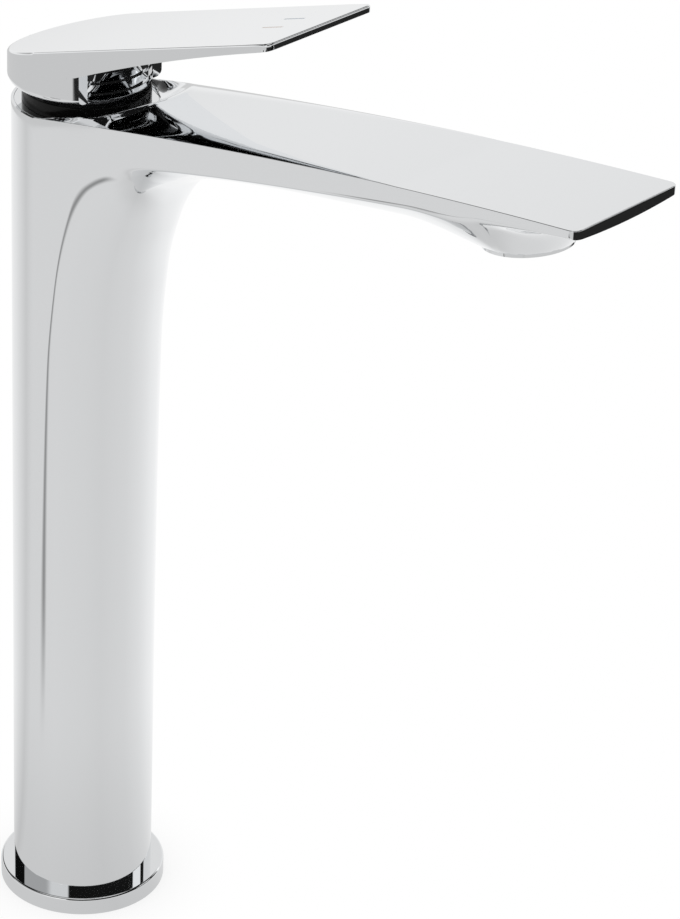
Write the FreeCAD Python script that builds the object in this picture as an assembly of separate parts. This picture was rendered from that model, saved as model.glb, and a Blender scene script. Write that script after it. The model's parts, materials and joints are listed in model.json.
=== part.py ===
import FreeCAD, Part
import math
import os

from FreeCAD import Vector

# Tall single-lever basin mixer. Units are millimetres.
# +X points along the spout, +Z is up, and the origin is the centre of the foot on the deck.

# Column and foot
column_radius = 21.5
column_wall = 4.5
flange_border = 4.0
flange_height = 5.5
flange_edge = 0.8
body_top = 263.2

# Spout: its top is a shallow arch from the column to the tip
spout_reach = 191.0
spout_rise = 28.0
top_arch = 2.6
tip_thickness = 2.4
tip_corner = 2.6
side_height_root = 8.8
side_root_reach = 64.0
end_overrun = 4.0
station_count = 56

# Front of the column and elbow: reach of the flat side's edge and its depth below the top,
# then how far the middle bulges past the column and its depth below the top
foot_front_side = 0.8
elbow_front = (
    (1.2, 186.2, 0.0, 186.2),
    (3.5, 133.0, 0.1, 133.0),
    (5.9, 76.0, 0.8, 76.0),
    (8.8, 50.0, 3.0, 50.0),
    (13.1, 28.4, 8.1, 32.0),
    (17.9, 15.0, 14.5, 19.8),
    (26.1, 7.7, 22.5, 11.6),
    (39.1, 2.9, 31.5, 6.8),
)

# Underside of the spout: share of the way from the elbow to the outlet, then distance past the outlet's axis,
# each with how far the middle hangs below the side edges
spout_keel = (
    (0.0, 6.0),
    (0.21, 6.2),
    (0.44, 7.6),
    (0.69, 8.8),
)
outlet_keel = (
    (-12.0, 10.0),
    (0.0, 10.2),
    (12.0, 6.4),
    (21.0, 2.4),
)
tip_keel = 0.6

# Shoulders: the spout's top stands proud beside the lever and rolls down to both sides
shoulder_end = 132.0
shoulder_fade = 3.4
shoulder_slope = 13.0
shoulder_stations = 16
shoulder_least = 0.25
seat_border = 0.3
ramp_slope = 42.0
ramp_start = 1.0

# Outlet under the spout
outlet_setback = 31.0
outlet_drop = 16.6
outlet_lean = 8.0
outlet_radius = 12.4
outlet_depth = 13.0
aerator_radius = 10.4
aerator_depth = 9.0
aerator_wall = 1.4
aerator_recess = 0.6
screen_thickness = 0.8
aerator_seal_height = 1.5

# Waterways
channel_radius = 4.0
channel_wall = 0.8
channel_start_rise = 9.0
channel_knee_reach = 43.0
channel_knee_drop = 0.7
channel_end_back = 8.0
channel_end_rise = 7.5
inlet_tube_radius = 4.0
inlet_tube_wall = 0.8
inlet_thread_radius = 4.5
inlet_thread_depth = 12.0
stud_thread_radius = 3.4
stud_thread_depth = 14.0
stud_wall = 3.6
port_radius = 2.6

# Seals
seal_section = 1.8
seal_flush = 1.6

# Base plug and valve block
plug_height = 26.0
valve_block_height = 16.0

# Cartridge
chamber_wall = 3.9
chamber_depth = 27.2
cartridge_base_height = 4.0
fixed_disc_height = 3.6
moving_disc_height = 3.4
disc_border = 5.0
disc_land = 1.5
moving_disc_border = 4.0
carrier_height = 5.2
cartridge_wall = 1.6
neck_step = 3.2
nut_height = 5.6
ring_thickness = 1.5
ring_border = 0.8
cover_height = 4.2
cover_gap = 0.6

# Turning half of the cartridge
journal_clearance = 0.05
running_clearance = 0.3
pivot_above_top = 5.1
sleeve_above_pivot = 2.5
limiter_height = 2.0
limiter_width = 1.6
pin_radius = 1.5
pin_clearance = 0.05
tilt_limit = 15.0

# Spindle and its bush
spindle_width = 7.0
spindle_rise = 8.0
spindle_toe_radius = 2.2
spindle_neck_radius = 1.4
bush_radius = 8.0

# Lever
hub_border = 0.4
hub_offset = 0.9
hub_bottom_above_top = 6.1
hub_edge = 1.8
hub_rim = 1.0
hub_front = 13.2
hub_front_wall = 1.2
hub_neck_inset = 2.5
hub_neck_edge = 1.0
hub_neck_wall = 1.8
groove_count = 3
groove_height = 1.2
groove_depth = 0.8
groove_spacing = 3.2
lever_top_height = 19.8
lever_slope = 17.76
lever_reach = 86.8
lever_tip_half_width = 21.2
lever_tip_thickness = 2.2
lever_root_reach = 16.5
lever_root_thickness = 8.0
lever_corner = 2.4
lever_skin = 3.0
blade_bow = 2.4

# Grub screw at the back of the hub
grub_radius = 1.5
grub_length = 6.0
grub_above_pivot = 5.4
cap_radius = 1.9
cap_depth = 1.6
cap_recess = 0.5

# Inlaid marks on the lever
mark_length = 7.6
mark_width = 0.8
mark_depth = 0.5
mark_spacing = 8.9
mark_offset = 2.3
mark_setback = 15.5

# Cutting shapes pass the face that they cut by this much
overcut = 1.0
# Edges are picked by their place within this distance
tolerance = 1e-6


# Helpers

def cylinder(radius, bottom, top, x=0.0, y=0.0):
    return Part.makeCylinder(radius, top - bottom, Vector(x, y, bottom))


def ring(outer, inner, bottom, top, x=0.0, y=0.0):
    return cylinder(outer, bottom, top, x, y).cut(cylinder(inner, bottom, top, x, y))


def rod(radius, start, end):
    return Part.makeCylinder(radius, (end - start).Length, start, end - start)


def box(x0, x1, y0, y1, z0, z1):
    return Part.makeBox(x1 - x0, y1 - y0, z1 - z0, Vector(x0, y0, z0))


def polygon_face(points):
    return Part.Face(Part.makePolygon(points + points[:1]))


def extruded_profile(points, half_width):
    face = polygon_face([Vector(x, -half_width, z) for x, z in points])
    return face.extrude(Vector(0, 2 * half_width, 0))


def fuse_all(shapes):
    result = shapes[0]
    for shape in shapes[1:]:
        result = result.fuse(shape)
    return result.removeSplitter()


def save(name, shape):
    if shape.ShapeType == "Compound" and len(shape.Solids) == 1:
        shape = shape.Solids[0]
    shape.exportStep("parts/" + name + ".step")


# Sizes that follow others
column_bore_radius = column_radius - column_wall
flange_radius = column_radius + flange_border
chamber_radius = column_radius - chamber_wall
neck_radius = chamber_radius - neck_step
neck_bore_radius = neck_radius - cartridge_wall
disc_radius = chamber_radius - disc_border
moving_disc_radius = disc_radius - moving_disc_border
outlet_reach = spout_reach - outlet_setback
hub_radius = column_radius + hub_border
hub_cavity_radius = hub_radius - hub_edge - hub_rim
cover_radius = hub_cavity_radius - cover_gap
hub_neck_radius = hub_radius - hub_neck_inset
seat_radius = column_radius + seat_border
port_offset = disc_radius - disc_land - port_radius
stud_offset = column_bore_radius - stud_wall - stud_thread_radius

# Heights that several pieces share
chamber_floor = body_top - chamber_depth
ring_seat = body_top - ring_thickness
housing_shoulder = ring_seat - nut_height
cartridge_base_top = chamber_floor + cartridge_base_height
fixed_disc_top = cartridge_base_top + fixed_disc_height
moving_disc_top = fixed_disc_top + moving_disc_height
carrier_top = moving_disc_top + carrier_height
pivot_height = body_top + pivot_above_top
sleeve_top = pivot_height + sleeve_above_pivot
plug_top = flange_height + plug_height
block_bottom = chamber_floor - valve_block_height
toe_height = moving_disc_top + carrier_height / 2
spindle_top = pivot_height + spindle_rise
inlet_places = (-port_offset, port_offset)

# The bush stays clear of the sleeve when the lever is lifted
tilt_sine = math.sin(math.radians(tilt_limit))
tilt_cosine = math.cos(math.radians(tilt_limit))
bush_bottom = pivot_height + (sleeve_above_pivot + running_clearance + bush_radius * tilt_sine) / tilt_cosine


def top_height(x):
    share = x / spout_reach
    return body_top + spout_rise * share + 4 * top_arch * share * (1 - share)


def side_height(x):
    share = (x - side_root_reach) / (spout_reach - side_root_reach)
    return side_height_root + (tip_thickness - side_height_root) * share


# Outlet frame: its axis leans with the spout's top

outlet_axis = Vector(math.sin(math.radians(outlet_lean)), 0, -math.cos(math.radians(outlet_lean)))
outlet_centre = Vector(outlet_reach, 0, top_height(outlet_reach) - outlet_drop)


def outlet_cylinder(radius, depth_from, depth_to):
    start = outlet_centre - outlet_axis * depth_from
    return rod(radius, start, outlet_centre - outlet_axis * depth_to)


def outlet_ring(outer, inner, depth_from, depth_to):
    return outlet_cylinder(outer, depth_from, depth_to).cut(outlet_cylinder(inner, depth_from, depth_to))


# Body: round column whose front turns into the underside of the spout

def smooth_path(points, count):
    """Evenly spaced points on a smooth path through the given ones, without overshoot."""
    width = len(points[0])
    along = [0.0]
    for first, second in zip(points, points[1:]):
        along.append(along[-1] + math.dist(first, second))
    slopes = [[(b[k] - a[k]) / (t - s) for k in range(width)]
              for a, b, s, t in zip(points, points[1:], along, along[1:])]
    tangents = [slopes[0]]
    for before, after in zip(slopes, slopes[1:]):
        tangents.append([2 * p * q / (p + q) if p * q > 0 else 0.0 for p, q in zip(before, after)])
    tangents.append(slopes[-1])
    path = []
    for step in range(count):
        distance = along[-1] * step / (count - 1)
        i = max(k for k in range(len(along) - 1) if along[k] <= distance + tolerance)
        span = along[i + 1] - along[i]
        u = (distance - along[i]) / span
        path.append([
            points[i][k] * (2 * u ** 3 - 3 * u ** 2 + 1) + points[i + 1][k] * (3 * u ** 2 - 2 * u ** 3)
            + tangents[i][k] * span * (u ** 3 - 2 * u ** 2 + u) + tangents[i + 1][k] * span * (u ** 3 - u ** 2)
            for k in range(width)])
    return path


def body_stations():
    """Pairs of points along the body: the edge of its flat side and the middle of its round front."""
    low = flange_height - end_overrun
    stations = [(foot_front_side, low, column_radius, low)]
    for side, side_drop, bulge, front_drop in elbow_front:
        stations.append((side, body_top - side_drop, column_radius + bulge, body_top - front_drop))
    hangs = [(side_root_reach + (outlet_reach - side_root_reach) * share, keel) for share, keel in spout_keel]
    hangs += [(outlet_reach + past, keel) for past, keel in outlet_keel]
    hangs.append((spout_reach + end_overrun, tip_keel))
    for reach, keel in hangs:
        edge = top_height(reach) - side_height(reach)
        stations.append((reach, edge, reach, edge - keel))
    return smooth_path(stations, station_count)


def front_cutter(stations):
    """Space in front of and under the body, bounded by arcs from one side edge to the other."""
    wing = 3.0
    overlap = 0.03
    beyond = 8.0
    half = column_radius + overlap
    wires = []
    for side_x, side_z, front_x, front_z in stations:
        step = Vector(front_x - side_x, 0, front_z - side_z)
        out = Vector(step)
        out.normalize()
        side = Vector(side_x, 0, side_z)
        front = Vector(front_x, 0, front_z)
        far = front + out * beyond
        left = Vector(0, half, 0)
        wide = Vector(0, half + wing, 0)
        arc = Part.Arc(side + left, front, side - left).toShape()
        rest = Part.makePolygon([side - left, side - wide, far - wide, far + wide, side + wide, side + left])
        wires.append(Part.Wire([arc] + rest.Edges))
    return Part.makeLoft(wires, True, False)


def body_outline(stations):
    """Side view of the body in front of the column's axis, a little past its round front."""
    spare = 3.0
    points = [(0.0, flange_height), (column_radius + spare, flange_height)]
    for side_x, side_z, front_x, front_z in stations:
        if side_z < flange_height or side_x > spout_reach:
            continue
        length = math.hypot(front_x - side_x, front_z - side_z)
        share = (length + spare) / length
        points.append((side_x + (front_x - side_x) * share, side_z + (front_z - side_z) * share))
    points.append((spout_reach, top_height(spout_reach) - tip_thickness - spare))
    return points


def spout_slab(stations):
    lower = [Vector(x, -column_radius, z) for x, z in body_outline(stations)]
    high = top_height(spout_reach) + spout_rise
    tip = Vector(spout_reach, -column_radius, high)
    root = Vector(0, -column_radius, high)
    slab = polygon_face(lower + [tip, root]).extrude(Vector(0, 2 * column_radius, 0))
    upright = [edge for edge in slab.Edges if is_tip_corner(edge)]
    return slab.makeFillet(tip_corner, upright).common(under_spout_top())


def shoulder_width(x):
    fade = (shoulder_end - x) / (shoulder_end - seat_radius)
    return column_radius * max(0.0, min(1.0, fade)) ** shoulder_fade


def under_spout_top():
    """Everything below the spout's top: flat in the middle, with a shoulder on each side that fades out."""
    half = column_radius + overcut
    gradient = math.tan(math.radians(shoulder_slope))
    wires = []
    for step in range(shoulder_stations + 1):
        x = (spout_reach + 2 * overcut) * step / shoulder_stations - overcut
        width = max(shoulder_least, min(column_radius - shoulder_least, shoulder_width(x)))
        low = top_height(x) - overcut * gradient
        high = top_height(x) + width * gradient
        flat = column_radius - width
        profile = [(-half, 0.0), (-half, low), (-flat, high), (flat, high), (half, low), (half, 0.0)]
        wires.append(Part.makePolygon([Vector(x, y, z) for y, z in profile + profile[:1]]))
    return Part.makeLoft(wires, True, False)


def is_tip_corner(edge):
    ends = [vertex.Point for vertex in edge.Vertexes]
    along_z = len(ends) == 2 and abs(ends[0].x - ends[1].x) < tolerance and abs(ends[0].y - ends[1].y) < tolerance
    return along_z and abs(ends[0].x - spout_reach) < tolerance


def body_outside():
    stations = body_stations()
    head = spout_slab(stations).cut(front_cutter(stations))
    back = cylinder(column_radius, flange_height, body_top)
    back = back.common(box(-2 * column_radius, 0, -2 * column_radius, 2 * column_radius, 0, 2 * body_top))
    boss = outlet_cylinder(outlet_radius, 0, outlet_depth)
    return fuse_all([back, head, boss])


def channel_points():
    start = Vector(chamber_radius - channel_radius, 0, chamber_floor + channel_start_rise)
    knee = Vector(channel_knee_reach, 0, body_top - channel_knee_drop)
    end = outlet_centre - outlet_axis * channel_end_rise - Vector(channel_end_back, 0, 0)
    return start, knee, end


def make_body_shell():
    start, knee, end = channel_points()
    shell = body_outside()
    cuts = [
        cylinder(column_bore_radius, flange_height, chamber_floor),
        cylinder(chamber_radius, chamber_floor, body_top + overcut),
        cylinder(column_radius - ring_border, ring_seat, body_top + overcut),
        lever_seat(),
        rod(channel_radius, start, knee),
        Part.makeSphere(channel_radius, knee),
        rod(channel_radius, knee, end),
        outlet_cylinder(aerator_radius, -overcut, aerator_depth),
    ]
    for cut in cuts:
        shell = shell.cut(cut)
    return shell


def lever_seat():
    """Room round the lever's hub, widening upwards to the spout's top."""
    start = body_top + ramp_start
    height = 2 * seat_radius
    top_radius = seat_radius + height / math.tan(math.radians(ramp_slope))
    flare = Part.makeCone(seat_radius, top_radius, height, Vector(0, 0, start))
    return cylinder(seat_radius, body_top, start).fuse(flare)


def make_spout_water_tube():
    knee, end = channel_points()[1:]
    clear = (end - knee).normalize() * channel_radius
    stop = outlet_cylinder(aerator_radius, -overcut, aerator_depth)
    tube = rod(channel_radius, knee + clear, end).cut(rod(channel_radius - channel_wall, knee + clear, end))
    return tube.cut(stop)


# Foot

def make_base_flange():
    flange = ring(flange_radius, column_bore_radius, 0, flange_height)
    rim = [edge for edge in flange.Edges
           if abs(edge.BoundBox.ZMin - flange_height) < tolerance and edge.BoundBox.XMax > flange_radius - tolerance]
    flange = flange.makeChamfer(flange_edge, rim)
    return flange.cut(flange_seal_space())


def flange_seal_space():
    middle = (flange_radius + column_bore_radius) / 2
    return ring(middle + seal_section, middle - seal_section, 0, seal_flush)


def make_base_plug():
    plug = cylinder(column_bore_radius, 0, plug_top)
    plug = plug.cut(cylinder(stud_thread_radius, 0, stud_thread_depth, x=-stud_offset))
    for y in inlet_places:
        plug = plug.cut(cylinder(inlet_thread_radius, 0, inlet_thread_depth, y=y))
        plug = plug.cut(cylinder(inlet_tube_radius - inlet_tube_wall, 0, plug_top, y=y))
        plug = plug.cut(cylinder(inlet_tube_radius, plug_top - inlet_thread_depth, plug_top, y=y))
    return plug.cut(plug_seal_space())


def plug_seal_space():
    middle = flange_height + plug_height / 2
    return ring(column_bore_radius, column_bore_radius - seal_section, middle - seal_flush, middle)


def make_inlet_tube(y):
    bottom = plug_top - inlet_thread_depth
    top = block_bottom + inlet_thread_depth / 2
    return ring(inlet_tube_radius, inlet_tube_radius - inlet_tube_wall, bottom, top, y=y)


def make_tube_seal(y):
    bottom = block_bottom + inlet_thread_depth / 2
    return ring(inlet_tube_radius, inlet_tube_radius - inlet_tube_wall, bottom, bottom + seal_flush, y=y)


def make_valve_block():
    block = cylinder(column_bore_radius, block_bottom, chamber_floor)
    seat_top = block_bottom + inlet_thread_depth / 2 + seal_flush
    for y in inlet_places:
        block = block.cut(cylinder(inlet_tube_radius, block_bottom, seat_top, y=y))
        block = block.cut(cylinder(port_radius, seat_top, chamber_floor, y=y))
    return block


# Cartridge, fixed half

def make_cartridge_housing():
    outer = cylinder(chamber_radius, cartridge_base_top, housing_shoulder)
    outer = outer.fuse(cylinder(neck_radius, housing_shoulder, body_top))
    room = cylinder(chamber_radius - cartridge_wall, cartridge_base_top, housing_shoulder - cartridge_wall)
    bore = cylinder(neck_bore_radius, cartridge_base_top, body_top)
    start, knee = channel_points()[:2]
    return outer.cut(room).cut(bore).cut(rod(channel_radius, start - (knee - start), knee))


def make_cartridge_base():
    base = cylinder(chamber_radius, chamber_floor, cartridge_base_top)
    for y in inlet_places:
        base = base.cut(cylinder(port_radius, chamber_floor, cartridge_base_top, y=y))
        base = base.cut(port_seal_space(y))
    return base


def port_seal_space(y):
    return ring(port_radius + seal_section, port_radius, chamber_floor, chamber_floor + seal_flush, y=y)


def make_fixed_disc():
    disc = cylinder(disc_radius, cartridge_base_top, fixed_disc_top)
    for y in inlet_places:
        disc = disc.cut(cylinder(port_radius, cartridge_base_top, fixed_disc_top, y=y))
    return disc


def make_clamp_nut():
    return ring(chamber_radius, neck_radius, housing_shoulder, ring_seat)


def make_collar_ring():
    return ring(column_radius - ring_border, neck_radius, ring_seat, body_top)


def make_cover_sleeve():
    """Sleeve on the collar ring that hides the cartridge under the lever."""
    return ring(cover_radius, neck_radius + running_clearance, body_top, body_top + cover_height)


# Cartridge, turning half

sleeve_bottom = housing_shoulder - cartridge_wall
slot_slant = (pivot_height - sleeve_bottom) * tilt_sine / tilt_cosine
slot_half_length = spindle_width / 2 + running_clearance + slot_slant


def make_guide_sleeve():
    radius = neck_bore_radius - journal_clearance
    sleeve = cylinder(radius, sleeve_bottom, sleeve_top)
    slot_width = spindle_width / 2 + running_clearance
    fork_bottom = pivot_height - pin_radius - running_clearance
    slots = [
        box(-slot_half_length, slot_half_length, -slot_width, slot_width, sleeve_bottom, sleeve_top),
        box(-radius, radius, -slot_width, slot_width, fork_bottom, sleeve_top),
    ]
    for slot in slots:
        sleeve = sleeve.cut(slot)
    pin_hole = rod(pin_radius, Vector(0, -radius, pivot_height), Vector(0, radius, pivot_height))
    return sleeve.cut(pin_hole)


def make_spindle_pin():
    reach = math.sqrt((neck_bore_radius - journal_clearance) ** 2 - pin_radius ** 2)
    return rod(pin_radius, Vector(0, -reach, pivot_height), Vector(0, reach, pivot_height))


def make_temperature_limiter():
    inner = neck_bore_radius - journal_clearance
    bottom = body_top + running_clearance
    return ring(inner + limiter_width, inner, bottom, bottom + limiter_height)


# Ceramic disc that the lever slides

def make_moving_disc():
    disc = cylinder(moving_disc_radius, fixed_disc_top, moving_disc_top)
    groove = cylinder(moving_disc_radius - cartridge_wall * 2, fixed_disc_top, fixed_disc_top + cartridge_wall)
    return disc.cut(groove)


def make_disc_carrier():
    carrier = cylinder(moving_disc_radius, moving_disc_top, carrier_top)
    half = spindle_toe_radius + running_clearance
    return carrier.cut(box(-half, half, -half, half, moving_disc_top, carrier_top))


# Lever

lever_direction = Vector(math.cos(math.radians(lever_slope)), 0, math.sin(math.radians(lever_slope)))
lever_normal = Vector(-lever_direction.z, 0, lever_direction.x)
lever_gradient = math.tan(math.radians(lever_slope))
hub_bottom = body_top + hub_bottom_above_top


def lever_top(x):
    return body_top + lever_top_height + lever_gradient * x


def lever_plan():
    """Plan of the lever in front of its hub's middle: straight sides and a square tip."""
    left = Vector(-hub_offset, hub_radius, 0)
    right = Vector(-hub_offset, -hub_radius, 0)
    tip_left = Vector(lever_reach, lever_tip_half_width, 0)
    tip_right = Vector(lever_reach, -lever_tip_half_width, 0)
    tall = polygon_face([right, tip_right, tip_left, left]).extrude(Vector(0, 0, 2 * body_top))
    upright = [edge for edge in tall.Edges
               if edge.BoundBox.XMin > lever_reach - tolerance and edge.BoundBox.ZLength > body_top]
    return tall.makeFillet(lever_corner, upright)


def lever_blade_region():
    """Side view of the blade: flat top, and an underside that bows up towards the hub."""
    root_x = lever_root_reach
    mid_x = (root_x + lever_reach) / 2
    mid_thickness = (lever_root_thickness + lever_tip_thickness) / 2 - blade_bow / 2
    y = -2 * hub_radius
    back = Vector(0, y, lever_top(0))
    tip = Vector(2 * lever_reach, y, lever_top(2 * lever_reach))
    tip_low = Vector(2 * lever_reach, y, lever_top(2 * lever_reach) - lever_tip_thickness)
    end = Vector(lever_reach, y, lever_top(lever_reach) - lever_tip_thickness)
    middle = Vector(mid_x, y, lever_top(mid_x) - mid_thickness)
    root = Vector(root_x, y, lever_top(root_x) - lever_root_thickness)
    root_back = back - Vector(0, 0, lever_root_thickness)
    edges = Part.makePolygon([root, root_back, back, tip, tip_low, end]).Edges
    edges.append(Part.Arc(end, middle, root).toShape())
    return Part.Face(Part.Wire(edges)).extrude(Vector(0, 4 * hub_radius, 0))


def hub_block(radius, edge_radius):
    """Round block under the lever with a rounded lower edge."""
    block = cylinder(radius, hub_bottom, body_top + 2 * lever_top_height, x=-hub_offset)
    lower = [edge for edge in block.Edges if edge.BoundBox.ZMax < hub_bottom + tolerance]
    return block.makeFillet(edge_radius, lower)


def behind(x):
    """Everything of the hub that lies behind this distance."""
    reach = 2 * hub_radius
    return box(-reach, x, -reach, reach, 0, 2 * body_top)


def lever_hub():
    """Round skirt that stops short of the front, where a narrower neck with turned grooves shows."""
    neck = hub_block(hub_neck_radius, hub_neck_edge)
    for count in range(groove_count):
        bottom = hub_bottom + hub_neck_edge + groove_height + groove_spacing * count
        neck = neck.cut(ring(hub_neck_radius + overcut, hub_neck_radius - groove_depth, bottom,
                             bottom + groove_height, x=-hub_offset))
    return fuse_all([hub_block(hub_radius, hub_edge).common(behind(hub_front)), neck])


def under_lever_top():
    """Everything below the lever's flat top."""
    reach = 2 * lever_reach
    points = [(-reach, 0), (reach, 0), (reach, lever_top(reach)), (-reach, lever_top(-reach))]
    return extruded_profile(points, 2 * hub_radius)


def hub_cavity():
    """Hollow of the hub: wide in the skirt, narrower inside the neck."""
    ceiling = lever_skin / math.cos(math.radians(lever_slope))
    reach = 2 * hub_radius
    points = [(-reach, 0), (reach, 0), (reach, lever_top(reach) - ceiling), (-reach, lever_top(-reach) - ceiling)]
    room = extruded_profile(points, reach)
    wide = cylinder(hub_cavity_radius, hub_bottom - overcut, lever_top(reach))
    narrow = cylinder(hub_neck_radius - hub_offset - hub_neck_wall, hub_bottom - overcut, lever_top(reach))
    return fuse_all([wide.common(behind(hub_front - hub_front_wall)), narrow]).common(room)


def grub_axis(depth):
    return Vector(-hub_offset - hub_radius + depth, 0, pivot_height + grub_above_pivot)


def make_lever_handle():
    blade = lever_plan().common(lever_blade_region())
    lever = fuse_all([blade, lever_hub().common(under_lever_top())])
    lever = lever.cut(hub_cavity())
    wall = hub_radius + hub_offset - bush_radius
    lever = lever.cut(rod(grub_radius, grub_axis(-overcut), grub_axis(wall)))
    lever = lever.cut(rod(cap_radius, grub_axis(-overcut), grub_axis(cap_depth)))
    for side in (1, -1):
        lever = lever.cut(lever_mark(side))
    return lever


def lever_mark(side):
    """Short inlaid dash along the lever, on one side of its middle."""
    x = lever_reach - mark_setback
    middle = Vector(x, mark_offset + side * mark_spacing / 2, lever_top(x))
    dash = Part.makeBox(mark_length, mark_width, mark_depth, Vector(-mark_length / 2, -mark_width / 2, 0))
    dash.rotate(Vector(0, 0, 0), Vector(0, 1, 0), -lever_slope)
    dash.translate(middle - lever_normal * mark_depth)
    return dash


def make_handle_bush():
    bush = cylinder(bush_radius, bush_bottom, lever_top(hub_radius))
    bush = bush.common(hub_cavity())
    half = spindle_width / 2
    bush = bush.cut(box(-half, half, -half, half, sleeve_top, spindle_top))
    return bush.cut(rod(grub_radius, grub_axis(0), grub_axis(hub_radius)))


def make_spindle():
    half = spindle_width / 2
    stem_bottom = carrier_top + running_clearance + half * tilt_sine / tilt_cosine
    stem = box(-half, half, -half, half, stem_bottom, spindle_top)
    neck = cylinder(spindle_neck_radius, toe_height, stem_bottom)
    stem = fuse_all([stem, neck, Part.makeSphere(spindle_toe_radius, Vector(0, 0, toe_height))])
    eye = pin_radius + pin_clearance
    return stem.cut(rod(eye, Vector(0, -spindle_width, pivot_height), Vector(0, spindle_width, pivot_height)))


def make_grub_screw():
    inner = hub_radius + hub_offset - spindle_width / 2
    return rod(grub_radius, grub_axis(inner - grub_length), grub_axis(inner))


def make_screw_cap():
    return rod(cap_radius, grub_axis(cap_recess), grub_axis(cap_depth))


# Outlet

def make_aerator_housing():
    return outlet_ring(aerator_radius, aerator_radius - aerator_wall, aerator_recess,
                       aerator_depth - aerator_seal_height)


def make_aerator_screen():
    return outlet_cylinder(aerator_radius - aerator_wall, aerator_recess, aerator_recess + screen_thickness)


def make_aerator_insert():
    insert = outlet_cylinder(aerator_radius - aerator_wall, aerator_recess + screen_thickness,
                             aerator_depth - aerator_seal_height)
    return insert.cut(outlet_cylinder(channel_radius, 0, aerator_depth))


def make_aerator_seal():
    return outlet_ring(aerator_radius, channel_radius, aerator_depth - aerator_seal_height, aerator_depth)


def main():
    os.makedirs("parts", exist_ok=True)
    save("body_shell", make_body_shell())
    save("spout_water_tube", make_spout_water_tube())
    save("base_flange", make_base_flange())
    save("flange_seal", flange_seal_space())
    save("base_plug", make_base_plug())
    save("plug_seal", plug_seal_space())
    for side, y in zip(("hot", "cold"), inlet_places):
        save(side + "_inlet_tube", make_inlet_tube(y))
        save(side + "_tube_seal", make_tube_seal(y))
        save(side + "_port_seal", port_seal_space(y))
    save("valve_block", make_valve_block())
    save("cartridge_housing", make_cartridge_housing())
    save("cartridge_base", make_cartridge_base())
    save("fixed_disc", make_fixed_disc())
    save("clamp_nut", make_clamp_nut())
    save("collar_ring", make_collar_ring())
    save("cover_sleeve", make_cover_sleeve())
    save("guide_sleeve", make_guide_sleeve())
    save("spindle_pin", make_spindle_pin())
    save("temperature_limiter", make_temperature_limiter())
    save("moving_disc", make_moving_disc())
    save("disc_carrier", make_disc_carrier())
    save("lever_handle", make_lever_handle())
    save("handle_bush", make_handle_bush())
    save("spindle", make_spindle())
    save("grub_screw", make_grub_screw())
    save("screw_cap", make_screw_cap())
    save("hot_marker", lever_mark(-1))
    save("cold_marker", lever_mark(1))
    save("aerator_housing", make_aerator_housing())
    save("aerator_screen", make_aerator_screen())
    save("aerator_insert", make_aerator_insert())
    save("aerator_seal", make_aerator_seal())


main()
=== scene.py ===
"""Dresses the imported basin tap: polished chrome body, lever and foot, outlet mesh, marks and a white studio."""

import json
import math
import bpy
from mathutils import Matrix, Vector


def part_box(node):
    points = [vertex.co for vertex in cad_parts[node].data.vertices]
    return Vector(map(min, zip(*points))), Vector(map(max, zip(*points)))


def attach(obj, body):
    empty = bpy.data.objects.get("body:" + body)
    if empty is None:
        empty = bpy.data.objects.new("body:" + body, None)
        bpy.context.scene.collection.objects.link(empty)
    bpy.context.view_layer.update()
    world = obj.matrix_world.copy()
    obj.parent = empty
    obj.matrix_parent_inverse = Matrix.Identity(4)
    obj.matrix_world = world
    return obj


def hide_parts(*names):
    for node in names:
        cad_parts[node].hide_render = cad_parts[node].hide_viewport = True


bl_info = {
    "name": "Basin Tap Dresser",
    "version": (1, 0, 0),
    "blender": (4, 5, 0),
    "location": "View3D > Sidebar > Basin Tap",
    "description": "Builds the visible pieces of a tall basin mixer on its packed frame",
    "category": "Add Mesh",
}

import bmesh
import bpy
from bpy.props import FloatProperty, FloatVectorProperty, IntProperty, PointerProperty
from mathutils import Matrix, Vector

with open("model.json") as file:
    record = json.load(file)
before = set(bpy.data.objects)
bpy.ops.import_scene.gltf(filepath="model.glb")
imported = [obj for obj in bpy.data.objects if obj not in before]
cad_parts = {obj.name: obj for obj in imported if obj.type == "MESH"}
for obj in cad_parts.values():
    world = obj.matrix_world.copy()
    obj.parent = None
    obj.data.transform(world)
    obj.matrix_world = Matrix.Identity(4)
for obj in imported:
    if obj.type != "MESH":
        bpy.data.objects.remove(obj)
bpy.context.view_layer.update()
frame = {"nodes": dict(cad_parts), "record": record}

MM = 0.001

# Front of the column and elbow, in millimetres: reach of the flat side's edge and its depth below the top,
# then how far the middle bulges past the column and its depth below the top
ELBOW_FRONT = (
    (1.2, 186.2, 0.0, 186.2),
    (3.5, 133.0, 0.1, 133.0),
    (5.9, 76.0, 0.8, 76.0),
    (8.8, 50.0, 3.0, 50.0),
    (13.1, 28.4, 8.1, 32.0),
    (17.9, 15.0, 14.5, 19.8),
    (26.1, 7.7, 22.5, 11.6),
    (39.1, 2.9, 31.5, 6.8),
)

# Underside of the spout: share of the way from the elbow to the outlet, then millimetres past the outlet's axis,
# each with how far the middle hangs below the side edges
SPOUT_KEEL = ((0.0, 6.0), (0.21, 6.2), (0.44, 7.6), (0.69, 8.8))
OUTLET_KEEL = ((-12.0, 10.0), (0.0, 10.2), (12.0, 6.4), (21.0, 2.4))

# The underside's stations run past the tip by this margin, with this keel, and are close together from the same
# margin before the tip's corners
TIP_MARGIN = 4.0
TIP_KEEL = 0.6

# Reach of the flat side's edge where the column starts
FOOT_SIDE = 0.8

# Share of the rolled edge's width that fades soon after the lever; the rest fades evenly towards the tip
ROLL_ROOT = 0.6

# Blend between the ramp in front of the lever and the spout's top
RAMP_BLEND = 1.6

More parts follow.
